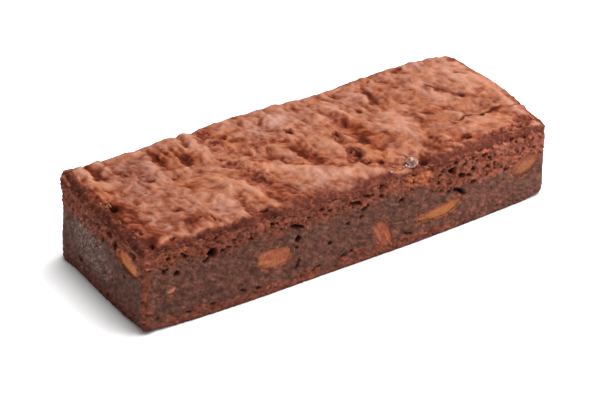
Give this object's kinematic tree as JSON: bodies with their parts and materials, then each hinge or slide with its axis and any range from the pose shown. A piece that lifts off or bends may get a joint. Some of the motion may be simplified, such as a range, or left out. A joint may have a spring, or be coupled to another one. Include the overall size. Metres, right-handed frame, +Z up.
{
  "type": "brownie",
  "caption": "Long bar of dark fudge brownie with a crinkled, blistered top crust and pieces of nut showing in its cut sides.",
  "frame": {"origin": "on the floor, under the centre of the bar's bounding box", "axes": "+X along the bar's length, towards the end that is on the right when its long cut front is seen; +Y from that front to the back; +Z up, out of the crust"},
  "size_m": [0.128, 0.047, 0.0268],
  "materials": {
    "crumb": "matte, dark and porous, with a paler satin crust on top",
    "pecan": "satin, orange brown"
  },
  "bodies": {
    "root": {"brownie": "crumb", "pecan_front_left": "pecan", "pecan_front_middle": "pecan", "pecan_front_sliver": "pecan", "pecan_front_right": "pecan", "pecan_left_end": "pecan", "pecan_chip": "pecan"}
  },
  "joints": []
}
